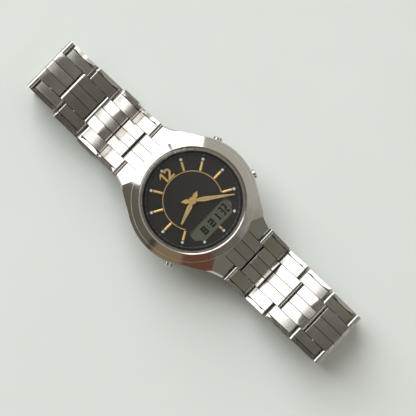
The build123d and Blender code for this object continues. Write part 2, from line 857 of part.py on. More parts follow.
second_x, second_y = polar(gear_distance(centre_teeth, second_pinion_teeth, train_module),
                           second_wheel_angle)
rotor_dx, rotor_dy = polar(gear_distance(second_wheel_teeth, rotor_teeth, train_module),
                           rotor_angle)
rotor_x = second_x + rotor_dx
rotor_y = second_y + rotor_dy
minute_x, minute_y = polar(gear_distance(cannon_teeth, minute_wheel_teeth, motion_module),
                           minute_wheel_angle)
centre_wheel_top_z = plate_bottom_z - arbor_gap
centre_wheel_bottom_z = centre_wheel_top_z - wheel_thickness
second_wheel_top_z = centre_wheel_bottom_z - pinion_height
second_wheel_bottom_z = second_wheel_top_z - wheel_thickness
rotor_pinion_top_z = second_wheel_top_z + arbor_gap
rotor_pinion_bottom_z = second_wheel_bottom_z - arbor_gap
cannon_bottom_z = plate_top_z - motion_recess_depth + arbor_gap
minute_wheel_top_z = cannon_bottom_z + wheel_thickness
minute_pinion_top_z = plate_top_z - fit_gap
hour_wheel_top_z = minute_pinion_top_z
hour_wheel_bottom_z = hour_wheel_top_z - wheel_thickness


def mesh_turn(angle, teeth, phase_here):
    """Turns a wheel so that a tooth, or a gap for a half, faces the given direction."""
    step = 360 / teeth
    return angle + phase_here * step


def centre_wheel():
    """Centre arbor with the wheel that drives it and the cannon pinion."""
    wheel = gear(centre_teeth, train_module, centre_wheel_bottom_z, centre_wheel_top_z, 0)
    wheel = radial(mesh_turn(second_wheel_angle, centre_teeth, 0)) * wheel
    arbor = disc(arbor_radius, bridge_top_z + arbor_gap, minute_hand_z + hub_height)
    pivot = disc(shaft_radius, bridge_bottom_z, bridge_top_z + arbor_gap)
    cannon = gear(cannon_teeth, motion_module, cannon_bottom_z, minute_wheel_top_z, 0)
    cannon = radial(mesh_turn(minute_wheel_angle, cannon_teeth, 0)) * cannon
    return wheel + arbor + pivot + cannon


def second_wheel():
    wheel = gear(second_wheel_teeth, train_module, second_wheel_bottom_z, second_wheel_top_z, 0)
    wheel = radial(mesh_turn(rotor_angle, second_wheel_teeth, 0)) * wheel
    pinion = gear(second_pinion_teeth, train_module, second_wheel_top_z, centre_wheel_top_z, 0)
    pinion = radial(mesh_turn(second_wheel_angle + 180, second_pinion_teeth, 1 / 2)) * pinion
    shaft = disc(shaft_radius, bridge_bottom_z, plate_bottom_z + arbor_gap)
    return Pos(second_x, second_y, 0) * (wheel + pinion + shaft)


def rotor():
    pinion = gear(rotor_teeth, train_module, rotor_pinion_bottom_z, rotor_pinion_top_z, 0)
    pinion = radial(mesh_turn(rotor_angle + 180, rotor_teeth, 1 / 2)) * pinion
    magnet = disc(rotor_magnet_radius, rotor_pinion_bottom_z - rotor_magnet_height,
                  rotor_pinion_bottom_z)
    shaft = disc(shaft_radius, bridge_bottom_z, plate_bottom_z + arbor_gap)
    return Pos(rotor_x, rotor_y, 0) * (pinion + magnet + shaft)


def minute_wheel():
    wheel = gear(minute_wheel_teeth, motion_module, cannon_bottom_z, minute_wheel_top_z, 0)
    wheel = radial(mesh_turn(minute_wheel_angle + 180, minute_wheel_teeth, 1 / 2)) * wheel
    pinion = gear(minute_pinion_teeth, motion_module, minute_wheel_top_z, minute_pinion_top_z, 0)
    pinion = radial(mesh_turn(minute_wheel_angle + 180, minute_pinion_teeth, 0)) * pinion
    whole = wheel + pinion - disc(shaft_radius + turning_gap, cannon_bottom_z - overrun,
                                  minute_pinion_top_z + overrun)
    return Pos(minute_x, minute_y, 0) * whole


def hour_wheel():
    """Hour wheel and the tube that carries the hour hand."""
    wheel = gear(hour_wheel_teeth, motion_module, hour_wheel_bottom_z, hour_wheel_top_z, 0)
    wheel = radial(mesh_turn(minute_wheel_angle, hour_wheel_teeth, 1 / 2)) * wheel
    tube = disc(hour_tube_radius, hour_wheel_bottom_z, hour_hand_z + hand_thickness)
    return wheel + tube - disc(arbor_radius + turning_gap, hour_wheel_bottom_z - overrun,
                               hour_hand_z + overrun)


# Movement

def shaft_hole(x, y):
    return disc(shaft_radius + turning_gap, bridge_bottom_z - overrun,
                plate_bottom_z + arbor_gap + fit_gap, x, y)


def main_plate():
    plate = disc(plate_radius, plate_bottom_z, plate_top_z)
    wheel_reach = gear_tip_radius(minute_wheel_teeth, motion_module) + arbor_gap
    hour_reach = gear_tip_radius(hour_wheel_teeth, motion_module) + arbor_gap
    recess_bottom = plate_top_z - motion_recess_depth
    plate -= disc(hour_reach, recess_bottom, plate_top_z + overrun)
    plate -= disc(wheel_reach, recess_bottom, plate_top_z + overrun, minute_x, minute_y)
    plate -= disc(arbor_radius + turning_gap, plate_bottom_z - overrun, plate_top_z)
    plate -= flat_polygon(window_outline(lcd_margin + fit_gap),
                          dial_bottom_z - lcd_below_dial - lcd_thickness, plate_top_z + overrun)
    plate -= shaft_hole(second_x, second_y)
    plate -= shaft_hole(rotor_x, rotor_y)
    stud = disc(shaft_radius, recess_bottom, minute_pinion_top_z, minute_x, minute_y)
    for x, y in bridge_posts():
        plate += disc(post_radius, bridge_top_z, plate_bottom_z, x, y)
    return plate + stud


def bridge_posts():
    return [polar(bridge_radius - post_radius, angle) for angle in post_angles]


def train_bridge():
    bridge = disc(bridge_radius, bridge_bottom_z, bridge_top_z)
    bridge -= disc(battery_radius + arbor_gap, bridge_bottom_z - overrun, bridge_top_z + overrun,
                   battery_x, battery_y)
    bridge -= shaft_hole(0, 0)
    bridge -= shaft_hole(second_x, second_y)
    bridge -= shaft_hole(rotor_x, rotor_y)
    return bridge


def stator():
    """Flat pole piece round the rotor, with the arms that reach the coil."""
    top = rotor_pinion_bottom_z - (rotor_magnet_height - stator_thickness) / 2
    bottom = top - stator_thickness
    reach = coil_length / 2
    plate = block(rotor_x - reach, rotor_x + reach, rotor_y - stator_width,
                  rotor_y + stator_width / 2, bottom, top)
    plate -= block(rotor_x - reach + stator_width / 2, rotor_x + reach - stator_width / 2,
                   rotor_y - stator_width - overrun,
                   rotor_y - stator_width / 2, bottom - overrun, top + overrun)
    return plate - disc(rotor_magnet_radius + sliding_gap, bottom - overrun, top + overrun,
                        rotor_x, rotor_y)


def coil_y():
    return rotor_y - stator_width - coil_radius - fit_gap


def motor_coil():
    """Winding on a core, whose two arms reach the stator."""
    middle = rotor_pinion_bottom_z - rotor_magnet_height / 2
    low = middle - coil_core_thickness / 2
    high = middle + coil_core_thickness / 2
    left = rotor_x - coil_length / 2
    right = rotor_x + coil_length / 2
    half = coil_core_width / 2
    y = coil_y()
    coil = cross_pin(coil_radius, left + coil_radius, right - coil_radius, y=y, z=middle)
    coil += block(left, right, y - half, y + half, low, high)
    for start, end in ((left, left + coil_core_width), (right - coil_core_width, right)):
        coil += block(start, end, y, rotor_y - stator_width, low, high)
    return coil


def circuit_board():
    board = disc(plate_radius, board_bottom_z, board_top_z)
    board -= disc(battery_radius + arbor_gap, board_bottom_z - overrun, board_top_z + overrun,
                  battery_x, battery_y)
    size = plate_radius * chip_share
    return board + block(size, 2 * size, 0, size, board_bottom_z - chip_thickness, board_bottom_z)


def battery():
    rim = battery_thickness * battery_rim_share
    top = battery_bottom_z + battery_thickness
    can = disc(battery_radius, battery_bottom_z + rim, top, battery_x, battery_y)
    return can + disc(battery_radius - rim, battery_bottom_z, battery_bottom_z + rim,
                      battery_x, battery_y)


def battery_clip():
    """Spring strap that holds the cell down from below."""
    top = battery_bottom_z
    reach = battery_radius + clip_width
    start = battery_y - clip_width / 2
    end = battery_y + clip_width / 2
    strap = block(battery_x - reach, battery_x + reach, start, end, top - clip_thickness, top)
    strap = strap & disc(plate_radius, top - overrun, top + overrun)
    leg_x = battery_x + battery_radius + arbor_gap
    return strap + block(leg_x, leg_x + clip_thickness, start, end, top, board_bottom_z)


def antenna():
    """Bar antenna across the 12 o'clock side."""
    bottom = plate_bottom_z - antenna_thickness
    y = plate_radius * antenna_y_share
    core_reach = plate_radius * antenna_length_share / 2
    core_half = antenna_width * antenna_core_share / 2
    winding_reach = core_reach * antenna_winding_share
    core = block(-core_reach, core_reach, y - core_half, y + core_half, bottom, plate_bottom_z)
    return core + block(-winding_reach, winding_reach, y - antenna_width / 2,
                        y + antenna_width / 2, bottom, plate_bottom_z)


def movement_holder():
    body = ring(cavity_radius - fit_gap, holder_inner_radius, holder_bottom_z, plate_top_z)
    for angle in pusher_angles.values():
        stem = cross_pin(pusher_clip_radius + sliding_gap, holder_inner_radius - overrun,
                         cavity_radius + overrun)
        body -= radial(angle) * Pos(0, 0, pusher_z) * stem
    return body


# Case back

def screw_top_z():
    return back_z + screw_head_height + screw_length


def case_back():
    body = disc(back_radius, back_z, back_inner_z)
    for angle in screw_angles:
        body += radial(angle) * disc(screw_ear_radius, back_z, back_inner_z,
                                     x=screw_circle_radius)
    body += ring(back_lip_radius, back_lip_radius - back_lip_width, back_inner_z,
                 back_inner_z + holder_bottom_over_back)
    for angle in screw_angles:
        body -= radial(angle) * disc(screw_head_radius, back_z - overrun,
                                     back_z + screw_head_height, x=screw_circle_radius)
        body -= radial(angle) * disc(screw_shank_radius, back_z - overrun,
                                     back_inner_z + overrun, x=screw_circle_radius)
    return body


def back_screw():
    head = disc(screw_head_radius, back_z, back_z + screw_head_height)
    head += disc(screw_shank_radius, back_z + screw_head_height, screw_top_z())
    slot = screw_slot_width / 2
    return head - block(-screw_head_radius - overrun, screw_head_radius + overrun, -slot, slot,
                        back_z - overrun, back_z + screw_head_height / 2)


def back_screws():
    place = Pos(screw_circle_radius, 0, 0)
    return [radial(angle) * place * back_screw() for angle in screw_angles]


def back_gasket():
    outer = cavity_radius - fit_gap
    return ring(outer, outer - back_seal_width, back_inner_z, holder_bottom_z)


# Pushers

def pusher():
    """Cap and stem along +X, with the clip that stops it coming out."""
    cap_start = pusher_reach - pusher_cap_length
    cap = cross_pin(pusher_radius, cap_start, pusher_reach)
    rim = cap.edges().filter_by(GeomType.CIRCLE).sort_by(Axis.X)[-1]
    cap = chamfer(rim, pusher_edge)
    groove_x = clip_start() + pusher_clip_thickness
    stem = cross_pin(stem_radius, cavity_radius - stem_inner_reach, cap_start)
    clip = cross_pin(pusher_clip_radius, clip_start(), groove_x)
    clip -= cross_pin(stem_radius, clip_start() - overrun, groove_x + overrun)
    return [cap + stem, clip]


def clip_start():
    return cavity_radius + clip_pocket_depth - pusher_clip_thickness


def pusher_seal():
    start = pusher_reach - pusher_cap_length - pusher_travel - sliding_gap - seal_length
    outer = cross_pin(pusher_radius, start, start + seal_length)
    return outer - cross_pin(stem_radius + sliding_gap, start - overrun,
                             start + seal_length + overrun)


def pushers():
    seals = []
    for name, angle in pusher_angles.items():
        place = radial(angle) * Pos(0, 0, pusher_z)
        save([place * piece for piece in pusher()], name)
        seals.append(place * pusher_seal())
    save(seals, "pusher_seals")


# Clasp: the cover lies on the table and the two blades reach to the 6 o'clock rows

def clasp_cover():
    half = clasp_width / 2
    inner = half - clasp_wall
    floor_end = clasp_pin_y - link_radius - end_gap
    floor_start = clasp_hinge_y + link_radius + end_gap
    shell = block(-half, half, floor_start, floor_end, 0, clasp_floor)
    for side in (-1, 1):
        wall = side_profile(Pos(0, link_radius) * wall_side_view(), inner, half)
        shell += wall if side > 0 else mirror(wall, Plane.YZ)
    through = half + overrun
    for pin_y in (clasp_hinge_y, clasp_pin_y):
        shell -= cross_pin(hinge_pin_radius, -through, through, y=pin_y, z=link_radius)
    for hole in range(1, adjust_hole_count + 1):
        shell -= cross_pin(adjust_hole_radius, -through, through,
                           y=clasp_pin_y - hole * clasp_length * adjust_step_share,
                           z=link_radius)
    button = button_span()
    gap = sliding_gap
    shell -= block(-through, through, button[0] - gap, button[1] + gap,
                   link_radius - button_height / 2 - gap, link_radius + button_height / 2 + gap)
    return shell


def wall_side_view():
    """Side view of the cover's wall: round at both pins."""
    middle = (clasp_hinge_y + clasp_pin_y) / 2
    bar = Pos(middle, 0) * Rectangle(clasp_length, 2 * link_radius)
    ends = [Pos(y, 0) * Circle(link_radius) for y in (clasp_hinge_y, clasp_pin_y)]
    return bar + ends[0] + ends[1]


def button_span():
    middle = clasp_pin_y - clasp_length * button_y_share
    return (middle - button_length / 2, middle + button_length / 2)


def clasp_pins():
    """Hinge pin and spring bar, both held in the cover's walls."""
    reach = clasp_width / 2 - pin_inset
    return [cross_pin(hinge_pin_radius, -reach, reach, y=clasp_hinge_y, z=link_radius),
            cross_pin(hinge_pin_radius, -reach, reach, y=clasp_pin_y, z=link_radius)]


def clasp_button(side):
    """Side button with an inner flange that keeps it in the wall."""
    half = clasp_width / 2
    start, end = button_span()
    low = link_radius - button_height / 2
    high = link_radius + button_height / 2
    reach = half + button_travel + button_proud
    key = block(half - button_depth, reach, start, end, low, high)
    edges = key.edges().filter_by(Axis.Y).group_by(Axis.X)[-1]
    key = chamfer(edges, button_flange / 2)
    flange = block(half - button_depth, half - clasp_wall - button_rest_gap,
                   start - button_flange, end + button_flange, low, high)
    whole = key + flange
    return whole if side > 0 else mirror(whole, Plane.YZ)


def blade_plate(width, start, end):
    half = width / 2
    return block(-half, half, start, end, link_radius - blade_thickness / 2,
                 link_radius + blade_thickness / 2)


def knuckle(x0, x1, y):
    return cross_pin(link_radius, x0, x1, y=y, z=link_radius)


def outer_blade():
    """Blade hinged in the cover: a full tube at the cover, a middle knuckle at the fold."""
    half = blade_width / 2
    clear = link_radius + end_gap
    body = blade_plate(blade_width, blade_hinge_y + clear, clasp_hinge_y)
    body += knuckle(-half, half, clasp_hinge_y)
    tongue = knuckle_width / 2
    body += block(-tongue, tongue, blade_hinge_y, blade_hinge_y + clear,
                  link_radius - blade_thickness / 2, link_radius + blade_thickness / 2)
    body += knuckle(-tongue, tongue, blade_hinge_y)
    bore = hinge_pin_radius + turning_gap
    body -= cross_pin(bore, -half - overrun, half + overrun, y=clasp_hinge_y, z=link_radius)
    body -= cross_pin(bore, -half - overrun, half + overrun, y=blade_hinge_y, z=link_radius)
    return body


def inner_blade():
    """Blade that joins the last bracelet row: two knuckles at the fold, two ears at the row."""
    half = inner_blade_width / 2
    ear_half = blade_width / 2
    clear = link_radius + end_gap
    tongue = knuckle_width / 2 + side_gap
    row_clear = centre_width / 2 + side_gap
    body = blade_plate(inner_blade_width, row_end_y + clear, blade_hinge_y - clear)
    for side in (-1, 1):
        inner_x, outer_x = sorted((side * tongue, side * half))
        body += block(inner_x, outer_x, blade_hinge_y - clear, blade_hinge_y,
                      link_radius - blade_thickness / 2, link_radius + blade_thickness / 2)
        body += knuckle(inner_x, outer_x, blade_hinge_y)
        inner_x, outer_x = sorted((side * row_clear, side * ear_half))
        body += block(inner_x, outer_x, row_end_y, row_end_y + 2 * clear,
                      link_radius - blade_thickness / 2, link_radius + blade_thickness / 2)
        body += knuckle(inner_x, outer_x, row_end_y)
    latch = block(-latch_width / 2, latch_width / 2, latch_y(), latch_y() + latch_length,
                  link_radius, link_radius + latch_height)
    body += latch
    body -= cross_pin(hinge_pin_radius, -half + pin_inset, half - pin_inset,
                      y=blade_hinge_y, z=link_radius)
    body -= cross_pin(pin_radius + turning_gap + open_pivot_gap, -ear_half + pin_inset / 2,
                      ear_half - pin_inset / 2, y=row_end_y, z=link_radius)
    return body


def latch_y():
    """The hook stands where it meets the buttons once the clasp is folded."""
    return row_end_y + clasp_length * (1 - button_y_share) - blade_length * latch_share


def fold_pin():
    reach = inner_blade_width / 2 - pin_inset
    return cross_pin(hinge_pin_radius, -reach, reach, y=blade_hinge_y, z=link_radius)


def clasp():
    save([clasp_cover()], "clasp_cover")
    save(clasp_pins(), "clasp_pins")
    save([outer_blade()], "clasp_outer_blade")
    save([inner_blade(), fold_pin()], "clasp_inner_blade")
    save([clasp_button(1)], "clasp_button_right")
    save([clasp_button(-1)], "clasp_button_left")


def head():
    save([case_body()], "case_body")
    save([bezel_ring()], "bezel_ring")
    save([crystal()], "crystal")
    save([crystal_gasket()], "crystal_gasket")
    save([flange_ring()], "flange_ring")
    save([dial()], "dial")
    save(hour_markers(), "hour_markers")
    save(hour_dots(), "hour_dots")
    save([dial_arc()], "dial_arc")
    save(numeral_12(), "numeral_12")
    save([lcd_panel()], "lcd_panel")
    save([solar_cell()], "solar_cell")
    save([movement_holder()], "movement_holder")
    save([main_plate()], "main_plate")
    save([train_bridge()], "train_bridge")
    save([circuit_board()], "circuit_board")
    save([battery()], "battery")
    save([battery_clip()], "battery_clip")
    save([stator()], "stator")
    save([motor_coil()], "motor_coil")
    save([antenna()], "antenna")
    save([case_back()], "case_back")
    save([back_gasket()], "back_gasket")
    save(back_screws(), "back_screws")
    save([end_piece()], "end_piece_12")
    save([Rot(0, 0, 180) * end_piece()], "end_piece_6")
    save([lug_bar(), Rot(0, 0, 180) * lug_bar()], "lug_spring_bars")


def hands_and_train():
    save([hour_hand()], "hour_hand")
    save([hour_wheel()], "hour_wheel")
    save([minute_hand()], "minute_hand")
    save([centre_wheel()], "centre_wheel")
    save([minute_wheel()], "minute_wheel")
    save([second_wheel()], "second_wheel")
    save([rotor()], "rotor")


os.makedirs("parts", exist_ok=True)
head()
hands_and_train()
pushers()
bracelet()
clasp()
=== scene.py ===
import math

import bmesh
import bpy
from mathutils import Matrix, Vector


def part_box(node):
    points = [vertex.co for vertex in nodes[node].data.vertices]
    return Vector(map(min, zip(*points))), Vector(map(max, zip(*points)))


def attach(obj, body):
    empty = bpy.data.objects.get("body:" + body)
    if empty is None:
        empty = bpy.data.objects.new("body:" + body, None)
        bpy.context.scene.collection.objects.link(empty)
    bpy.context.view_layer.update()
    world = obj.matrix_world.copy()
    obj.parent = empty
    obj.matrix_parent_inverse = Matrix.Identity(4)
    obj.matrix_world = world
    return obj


# Looks of an analogue and digital wristwatch on a steel bracelet.
# Metres. +Z is up out of the dial, +Y points to 12 o'clock, +X to 3 o'clock.

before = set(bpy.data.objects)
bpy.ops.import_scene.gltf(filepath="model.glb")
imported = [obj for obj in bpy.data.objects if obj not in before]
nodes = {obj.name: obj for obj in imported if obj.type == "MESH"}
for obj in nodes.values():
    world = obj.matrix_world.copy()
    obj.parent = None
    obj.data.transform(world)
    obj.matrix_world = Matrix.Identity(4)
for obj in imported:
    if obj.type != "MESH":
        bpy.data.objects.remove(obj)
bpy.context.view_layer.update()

MM = 0.001

# The photograph's viewpoint
camera_azimuth = -46.2
camera_elevation = 86.6
camera_distance = 0.3246
camera_lens = 91.5
camera_target = (0.0018, -0.0047, 0.0100)

# Places on the bracelet and the head, as the solids have them (mm)
strip_groove_x = 1.7
centre_edge_x = 5.15
edge_strip_width = 1.25
strip_groove_width = 0.22
row_widths = [21.0, 20.4, 19.8, 19.2]
lug_inner_x = 5.5
bezel_crest_radius = 16.33
flange_inner_radius = 14.0
flange_top_radius = 14.6
hour_hand_angle = 251.3
minute_hand_angle = 127.4

# Thickness of prints, and how far an inlay is sunk and the minute hand's blade lies lower (m)
print_depth = 0.02 * MM
inlay_sink = 0.01 * MM
blade_step = 0.06 * MM

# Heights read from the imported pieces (m)
dial_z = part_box("dial")[1].z
lcd_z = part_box("lcd_panel")[1].z
flange_top_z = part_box("flange_ring")[1].z
hour_hand_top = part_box("hour_hand")[1].z
minute_hand_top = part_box("minute_hand")[1].z

# Colours, linear
steel_colour = (0.60, 0.58, 0.545)
polished_colour = (0.66, 0.64, 0.61)
gold_colour = (0.69, 0.445, 0.165)
dial_colour = (0.0065, 0.0062, 0.0062)
flange_colour = (0.011, 0.011, 0.012)
lcd_colour = (0.078, 0.082, 0.058)
lcd_ink = (0.0015, 0.002, 0.0025)
inlay_colour = (0.33, 0.31, 0.17)
dot_colour = (0.58, 0.58, 0.55)
tick_colour = (0.20, 0.20, 0.20)
floor_colour = (0.79, 0.84, 0.815)


# Materials

def dimmed(colour, share):
    return tuple(share * part for part in colour)


class Look:
    """A material under construction round one Principled shader."""

    def __init__(self, name, **sockets):
        self.material = bpy.data.materials.new(name)
        self.material.use_nodes = True
        self.tree = self.material.node_tree
        self.shader = self.tree.nodes["Principled BSDF"]
        self.output = self.tree.nodes["Material Output"]
        for label, value in sockets.items():
            self.feed(self.shader.inputs[label.replace("_", " ")], value)

    def feed(self, socket, value):
        """Links an output to a socket, or sets the socket's own value."""
        if isinstance(value, bpy.types.NodeSocket):
            self.tree.links.new(value, socket)
        elif socket.type == "RGBA" and len(value) == 3:
            socket.default_value = (*value, 1.0)
        else:
            socket.default_value = value

    def add(self, kind, inputs=None, **settings):
        node = self.tree.nodes.new("ShaderNode" + kind)
        for label, value in settings.items():
            setattr(node, label, value)
        for label, value in (inputs or {}).items():
            self.feed(node.inputs[label], value)
        return node

    def place(self, scale=(1, 1, 1)):
        """Where a point is on the piece, in metres times scale; it moves with the piece."""
        where = self.add("TexCoord").outputs["Object"]
        return self.add("Mapping", {"Vector": where, "Scale": scale}).outputs["Vector"]

    def noise(self, scale, detail=2.0, roughness=0.5):
        """A cloud pattern from 0 to 1, stretched by the three scales (features per metre)."""
        settings = {"Vector": self.place(scale), "Scale": 1.0, "Detail": detail,
                    "Roughness": roughness}
        return self.add("TexNoise", settings).outputs["Fac"]

    def between(self, value, low, high):
        """Maps a pattern's middle range to the range from low to high."""
        settings = {"Value": value, "From Min": 0.3, "From Max": 0.7, "To Min": low,
                    "To Max": high}
        return self.add("MapRange", settings).outputs["Result"]

    def mixed(self, share, first, second):
        """A colour between two others."""
        node = self.add("Mix", data_type="RGBA")
        self.feed(node.inputs["Factor"], share)
        self.feed(node.inputs["A"], first)
        self.feed(node.inputs["B"], second)
        return node.outputs["Result"]

    def tint(self, pattern, first, second):
        """Base colour between two others, by a pattern from 0 to 1."""
        self.feed(self.shader.inputs["Base Color"], self.mixed(pattern, first, second))

    def wear(self, pattern, low, high):
        """Roughness from low to high, by a pattern."""
        self.feed(self.shader.inputs["Roughness"], self.between(pattern, low, high))

    def bump(self, height, strength, distance, over=None):
        """Raises the surface by a pattern, over another bump where one is given."""
        settings = {"Height": height, "Strength": strength, "Distance": distance}
        if over:
            settings["Normal"] = over
        normal = self.add("Bump", settings).outputs["Normal"]
        self.feed(self.shader.inputs["Normal"], normal)
        return normal


def brushed_steel(name, streaks, axis, colour=steel_colour, roughness=0.30, grain=0.06):
    """Satin steel: fine lines along one direction, which also stretch its highlights."""
    look = Look(name, Metallic=1.0, Anisotropic=0.8, Anisotropic_Rotation=0.25)
    lines = look.noise(streaks, detail=3.0, roughness=0.65)
    cloud = look.noise((180, 180, 180))
    look.tint(look.between(lines, 0.0, 1.0), dimmed(colour, 0.86), colour)
    worn = look.between(cloud, roughness - 0.04, roughness + 0.04)
    rough = look.add("Math", {0: worn, 1: look.between(lines, -grain, grain)}, operation="ADD")
    look.feed(look.shader.inputs["Roughness"], rough.outputs["Value"])
    tangent = look.add("Tangent", direction_type="RADIAL", axis=axis)
    look.feed(look.shader.inputs["Tangent"], tangent.outputs["Tangent"])
    look.bump(lines, 0.10, 0.00002)
    return look.material


def polished_steel(name, colour=polished_colour, roughness=0.07, waves=0.6):
    """Mirror-like steel that isn't quite flat, with faint smears and hairline scratches."""
    look = Look(name, Metallic=1.0)
    smear = look.noise((260, 260, 260), detail=4.0)
    scratch = look.noise((2600, 160, 900), detail=2.0, roughness=0.7)
    look.tint(look.between(smear, 0.0, 1.0), dimmed(colour, 0.95), colour)
    look.wear(smear, roughness * 0.6, roughness * 1.5)
    swell = look.bump(look.noise((170, 170, 170), detail=1.0), waves, 0.00006)
    look.bump(scratch, 0.03, 0.00002, over=swell)
    return look.material


def plain_metal(name, colour, roughness, metallic=1.0):
    """Small metal parts, with slight unevenness; below 1 it is partly a metallic paint."""
    look = Look(name, Metallic=metallic)
    cloud = look.noise((700, 700, 700), detail=3.0)
    look.tint(look.between(cloud, 0.0, 1.0), dimmed(colour, 0.82), colour)
    look.wear(cloud, roughness * 0.8, roughness * 1.25)
    return look.material


def moulded(name, colour, roughness, grain=0.0, gloss=0.5):
    """Plastic, rubber or paint with a fine surface grain."""
    look = Look(name, Specular_IOR_Level=gloss)
    cloud = look.noise((900, 900, 900), detail=3.0)
    look.tint(look.between(cloud, 0.0, 1.0), dimmed(colour, 0.8), colour)
    look.wear(cloud, roughness * 0.9, roughness * 1.1)
    if grain:
        look.bump(look.noise((9000, 9000, 9000), detail=1.0), grain, 0.00002)
    return look.material


def glass(name):
    """Clear glass that lets the lamps reach the dial."""
    look = Look(name, Roughness=0.0, IOR=1.45)
    look.shader.inputs["Transmission Weight"].default_value = 1.0
    look.shader.inputs["Base Color"].default_value = (0.99, 1.0, 0.99, 1.0)
    clear = look.add("BsdfTransparent")
    lamp_rays = look.add("LightPath").outputs["Is Shadow Ray"]
    mix = look.add("MixShader", {"Fac": lamp_rays})
    look.tree.links.new(look.shader.outputs["BSDF"], mix.inputs[1])
    look.tree.links.new(clear.outputs["BSDF"], mix.inputs[2])
    look.tree.links.new(mix.outputs["Shader"], look.output.inputs["Surface"])
    return look.material


def dial_face(name):
    """Near-black dial: a fine grain of slightly paler specks in a satin lacquer."""
    look = Look(name, Roughness=0.42, Specular_IOR_Level=0.25)
    grain = look.noise((7000, 7000, 7000), detail=2.0, roughness=0.7)
    cloud = look.noise((260, 260, 260))
    look.tint(look.between(grain, 0.0, 0.6), dimmed(dial_colour, 0.6), dimmed(dial_colour, 2.4))
    look.wear(cloud, 0.38, 0.48)
    look.bump(grain, 0.08, 0.00002)
    return look.material


def lcd_face(name):
    """Grey-green liquid crystal panel with a faint sparkle of its reflector."""
    look = Look(name, Roughness=0.35, Specular_IOR_Level=0.25)
    grain = look.noise((5200, 5200, 5200), detail=2.0, roughness=0.7)
    cloud = look.noise((150, 150, 150))
    speckled = look.mixed(look.between(grain, 0.2, 0.8), dimmed(lcd_colour, 0.86),
                          dimmed(lcd_colour, 1.1))
    look.tint(look.between(cloud, 0.0, 0.25), speckled, lcd_colour)
    return look.material


def circuit_face(name):
    """Green lacquered board with paler tracks."""
    look = Look(name, Roughness=0.35)
    cells = look.add("TexVoronoi", {"Vector": look.place((600, 600, 600)), "Scale": 1.0},
                     feature="DISTANCE_TO_EDGE")
    tracks = look.add("Math", {0: cells.outputs["Distance"], 1: 0.08}, operation="LESS_THAN")
    look.tint(tracks.outputs["Value"], (0.010, 0.085, 0.035), (0.05, 0.17, 0.07))
    return look.material


def winding(name):
    """Enamelled copper wire, wound in close turns round a core along X."""
    look = Look(name, Metallic=1.0, Roughness=0.3)
    turns = look.add("TexWave", {"Vector": look.place((6000, 0, 0)), "Scale": 1.0},
                     bands_direction="X")
    # Darker in the hollows between the turns and copper-coloured on their crests: painted shade
    # between the turns.
    look.tint(turns.outputs["Fac"], (0.30, 0.09, 0.03), (0.75, 0.32, 0.14))
    look.bump(turns.outputs["Fac"], 0.4, 0.00004)
    return look.material


along_links = (5200, 70, 70)
round_head = (900, 900, 900)
link_brushed = brushed_steel("link_brushed", along_links, "X", roughness=0.18, grain=0.03)
link_polished = polished_steel("link_polished", waves=1.0)
# Dark steel for the walls and floors of the grooves and the lugs' inner walls: painted shade in
# these recesses.
painted_shade_steel = plain_metal("painted_shade_steel", (0.10, 0.095, 0.085), 0.6)
case_brushed = brushed_steel("case_brushed", (160, 160, 4200), "Z", roughness=0.26)
case_polished = polished_steel("case_polished", roughness=0.08, waves=0.3)
bezel_polished = polished_steel("bezel_polished", roughness=0.08, waves=0.2)
bezel_brushed = brushed_steel("bezel_brushed", round_head, "Z", roughness=0.20)
back_brushed = brushed_steel("back_brushed", (70, 5200, 70), "Z", roughness=0.32)
clasp_brushed = brushed_steel("clasp_brushed", along_links, "X", roughness=0.28)
clasp_polished = polished_steel("clasp_polished")
blade_brushed = brushed_steel("blade_brushed", along_links, "X", roughness=0.24)
button_steel = polished_steel("button_steel", roughness=0.12)
small_steel = plain_metal("small_steel", (0.55, 0.54, 0.52), 0.25)
gold = plain_metal("gold", gold_colour, 0.36, metallic=0.75)
brass = plain_metal("brass", (0.72, 0.50, 0.22), 0.32)
cell_steel = plain_metal("cell_steel", (0.62, 0.62, 0.60), 0.18)
seal_rubber = moulded("seal_rubber", (0.015, 0.015, 0.016), 0.6, grain=0.1)
flange_paint = moulded("flange_paint", flange_colour, 0.38, grain=0.05)
solar_film = moulded("solar_film", (0.020, 0.012, 0.022), 0.22)
movement_plastic = moulded("movement_plastic", (0.022, 0.022, 0.024), 0.45, grain=0.1)
lume = moulded("lume", dot_colour, 0.5)
tick_print = moulded("tick_print", tick_colour, 0.5)
inlay_paint = moulded("inlay_paint", inlay_colour, 0.42)
lcd_ink_film = moulded("lcd_ink_film", lcd_ink, 0.3, gloss=0.1)
crystal_glass = glass("crystal_glass")
dial_black = dial_face("dial_black")
lcd_glass = lcd_face("lcd_glass")
board_green = circuit_face("board_green")
copper_wire = winding("copper_wire")


# Finishes on the solids

def finish_node(name, *materials, choose=None):
    """Gives a solid its materials; choose tells from a face which of them it takes."""
    mesh = nodes[name].data
    mesh.materials.clear()
    for material in materials:
        mesh.materials.append(material)
    for face in mesh.polygons:
        face.material_index = choose(face) if choose else 0


def link_finish(name, width):
    """Middle strip and outer plates brushed, the other strips polished, the gaps painted dark as
    shade.
    """
    edge = width / 2 - edge_strip_width
    vertices = nodes[name].data.vertices

    def corners_x(face):
        return [vertices[index].co.x for index in face.vertices]

    def choose(face):
        across = abs(face.center.x) / MM
        upright = abs(face.normal.x) > 0.5
        reach = [abs(face.center.x - corner) for corner in corners_x(face)]
        # Groove walls and groove floors take the third material, the painted shade.
        if upright and across < width / 2 - edge_strip_width / 2:
            return 2
        if not upright and max(reach) < strip_groove_width * MM:
            return 2
        brushed = across < strip_groove_x or centre_edge_x < across < edge
        return 0 if brushed and not upright else 1
    return choose


def head_finish(face):
    """Upper faces and bevels polished; the upright sides brushed; the lugs' inner walls painted
    dark as shade.
    """
    if abs(face.normal.x) > 0.5 and abs(face.center.x) < lug_inner_x * MM:
        return 2
    return 0 if abs(face.normal.z) < 0.2 else 1


